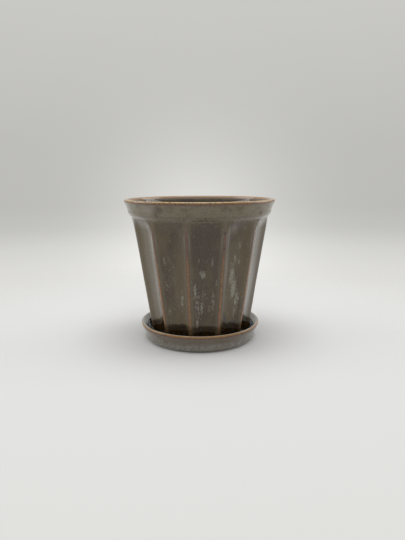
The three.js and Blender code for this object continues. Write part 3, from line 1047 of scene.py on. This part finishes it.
class PLANTER_OT_saucer(bpy.types.Operator):
    """Make the saucer"""

    bl_idname = "planter.saucer"
    bl_label = "Saucer"

    def execute(self, context):
        points, fields = saucer_surface(context.scene.planter_saucer)
        piece = mesh_object("glazed_saucer", points, False, fields)
        glaze = saucer_glaze(context.scene.planter_glaze)
        finish_piece(piece, glaze, "saucer", "saucer")
        return {"FINISHED"}


# The stage


# The floor: its radius, its gloss, and how far from its middle it begins to fade and has faded away
FLOOR_RADIUS = 1.6
FLOOR_SIDES = 96
FLOOR_ROUGHNESS = 0.9
FLOOR_SPECULAR = 0.1
FLOOR_FADE = (0.12, 0.42)


def make_floor(settings):
    """A round floor that fades out to the backdrop's colour with the distance from the planter."""
    turn = np.linspace(0, 2 * np.pi, FLOOR_SIDES, endpoint=False)
    rim = np.stack([FLOOR_RADIUS * np.cos(turn), FLOOR_RADIUS * np.sin(turn), 0 * turn], -1)
    mesh = bpy.data.meshes.new("floor")
    mesh.from_pydata(rim, [], [list(range(FLOOR_SIDES))])
    floor = bpy.data.objects.new("floor", mesh)
    bpy.context.scene.collection.objects.link(floor)
    material = bpy.data.materials.new("floor")
    g = Graph(material)
    g.put(g.shader.inputs["Base Color"], settings.floor_colour)
    g.put(g.shader.inputs["Roughness"], FLOOR_ROUGHNESS)
    g.put(g.shader.inputs["Specular IOR Level"], FLOOR_SPECULAR)
    distance = g.node("VectorMath", {0: g.place}, operation="LENGTH")["Value"]
    clear = g.node("BsdfTransparent", {})[0]
    fade = g.node("MixShader", {0: g.step(distance, *FLOOR_FADE), 1: g.shader.outputs[0], 2: clear})
    g.put(g.tree.nodes["Material Output"].inputs["Surface"], fade[0])
    mesh.materials.append(material)


# Brightness of the backdrop by the share of the way up from straight below to straight above
BACKDROP_STOPS = (
    (0.3, 0.75),
    (0.35, 0.73),
    (0.37, 0.72),
    (0.39, 0.73),
    (0.41, 0.71),
    (0.43, 0.65),
    (0.45, 0.54),
    (0.471, 0.5),
    (0.53, 0.51),
    (0.65, 0.58),
)

# The backdrop's soft glow behind the planter: its direction, its reach and its brightness
GLOW_DIRECTION = (0.078, 1, -0.11)
GLOW_REACH = 0.48
GLOW = 0.26


# The lamps: name, place, width and power
LAMPS = (
    ("lamp_above", (0, -0.02, 0.85), 0.5, 2.6),
    ("lamp_left", (-0.8, 0.1, 0.45), 0.6, 1.9),
    ("lamp_right", (0.8, 0.1, 0.45), 0.6, 1.9),
)
LAMP_AIM = (0, 0, 0.07)


def make_world(settings):
    """An even light, behind a backdrop that is brightest at the horizon, as seen and as mirrored."""
    world = bpy.data.worlds.new("studio")
    bpy.context.scene.world = world
    g = Graph(world, "Background", "Generated")
    upwards = g.node("SeparateXYZ", {0: g.place})["Z"]
    level = g.node("MapRange", {"Value": upwards, "From Min": -1})["Result"]
    ramp = g.node("ValToRGB", {"Fac": level})["Color"]
    stops = ramp.node.color_ramp.elements
    while len(stops) < len(BACKDROP_STOPS):
        stops.new(0.5)
    for stop, (position, brightness) in zip(stops, BACKDROP_STOPS):
        stop.position = position
        stop.color = (*(brightness * part for part in settings.backdrop_tint), 1)
    inputs = {"Vector": g.place, "Location": GLOW_DIRECTION, "Scale": (GLOW_REACH, GLOW_REACH, GLOW_REACH)}
    around = g.node("Mapping", inputs, vector_type="TEXTURE")["Vector"]
    ball = g.node("TexGradient", {"Vector": around}, gradient_type="QUADRATIC_SPHERE")["Fac"]
    glowing = g.mix(g.step(ball, 0, 1, 0, GLOW), ramp, settings.backdrop_tint, "ADD")
    seen = g.node("LightPath", {})
    either = g.larger(seen["Is Camera Ray"], seen["Is Glossy Ray"])
    any_view = g.larger(either, seen["Is Transmission Ray"])
    even = (settings.ambient, settings.ambient, settings.ambient)
    g.put(g.shader.inputs["Color"], g.mix(any_view, even, glowing))


def softbox(name, place, size, power):
    """A square lamp at place, size wide, that faces the planter."""
    lamp = bpy.data.lights.new(name, "AREA")
    lamp.size = size
    lamp.energy = power
    holder = bpy.data.objects.new(name, lamp)
    bpy.context.scene.collection.objects.link(holder)
    aim = Vector(LAMP_AIM) - Vector(place)
    holder.matrix_world = Matrix.Translation(place) @ aim.to_track_quat("-Z", "Y").to_matrix().to_4x4()


def make_camera(settings):
    """The camera, pitched down and turned about Z round the planter."""
    camera = bpy.data.cameras.new("camera")
    camera.lens = settings.camera_lens
    camera.sensor_width = 36
    camera.clip_start = 0.01
    holder = bpy.data.objects.new("camera", camera)
    bpy.context.scene.collection.objects.link(holder)
    place = Vector((settings.camera_side, -settings.camera_distance, settings.camera_height))
    holder.matrix_world = (
        Matrix.Rotation(settings.camera_turn, 4, "Z")
        @ Matrix.Translation(place)
        @ Matrix.Rotation(math.pi / 2 - settings.camera_pitch, 4, "X")
        @ Matrix.Rotation(settings.camera_roll, 4, "Z")
    )
    bpy.context.scene.camera = holder


class PLANTER_OT_stage(bpy.types.Operator):
    """Make the floor, the backdrop, the lamps and the camera"""

    bl_idname = "planter.stage"
    bl_label = "Stage"

    def execute(self, context):
        settings = context.scene.planter_stage
        make_floor(settings)
        make_world(settings)
        for lamp in LAMPS:
            softbox(*lamp)
        make_camera(settings)
        context.scene.view_settings.view_transform = "Standard"
        return {"FINISHED"}


class PLANTER_PT_panel(bpy.types.Panel):
    """Lists the pieces of the planter"""

    bl_idname = "PLANTER_PT_panel"
    bl_label = "Fluted Planter"
    bl_space_type = "VIEW_3D"
    bl_region_type = "UI"
    bl_category = "Planter"

    def draw(self, context):
        for group, operator in (
            (context.scene.planter_pot, PLANTER_OT_pot),
            (context.scene.planter_saucer, PLANTER_OT_saucer),
            (context.scene.planter_stage, PLANTER_OT_stage),
        ):
            self.layout.operator(operator.bl_idname)
            for name in group.__annotations__:
                self.layout.prop(group, name)
        for name in context.scene.planter_glaze.__annotations__:
            self.layout.prop(context.scene.planter_glaze, name)


GROUPS = {
    "planter_pot": PlanterPotSizes,
    "planter_saucer": PlanterSaucerSizes,
    "planter_glaze": PlanterGlazeColours,
    "planter_stage": PlanterStageSettings,
}
CLASSES = (*GROUPS.values(), PLANTER_OT_pot, PLANTER_OT_saucer, PLANTER_OT_stage, PLANTER_PT_panel)


def register():
    """Adds the classes and hangs each group of settings on the scene."""
    for each in CLASSES:
        bpy.utils.register_class(each)
    for name, group in GROUPS.items():
        setattr(bpy.types.Scene, name, PointerProperty(type=group))


def unregister():
    """Takes away what register added."""
    for name in GROUPS:
        delattr(bpy.types.Scene, name)
    for each in reversed(CLASSES):
        bpy.utils.unregister_class(each)


def main():
    """Makes every piece and the stage."""
    register()
    bpy.ops.planter.pot()
    bpy.ops.planter.saucer()
    bpy.ops.planter.stage()


if __name__ == "__main__":
    main()
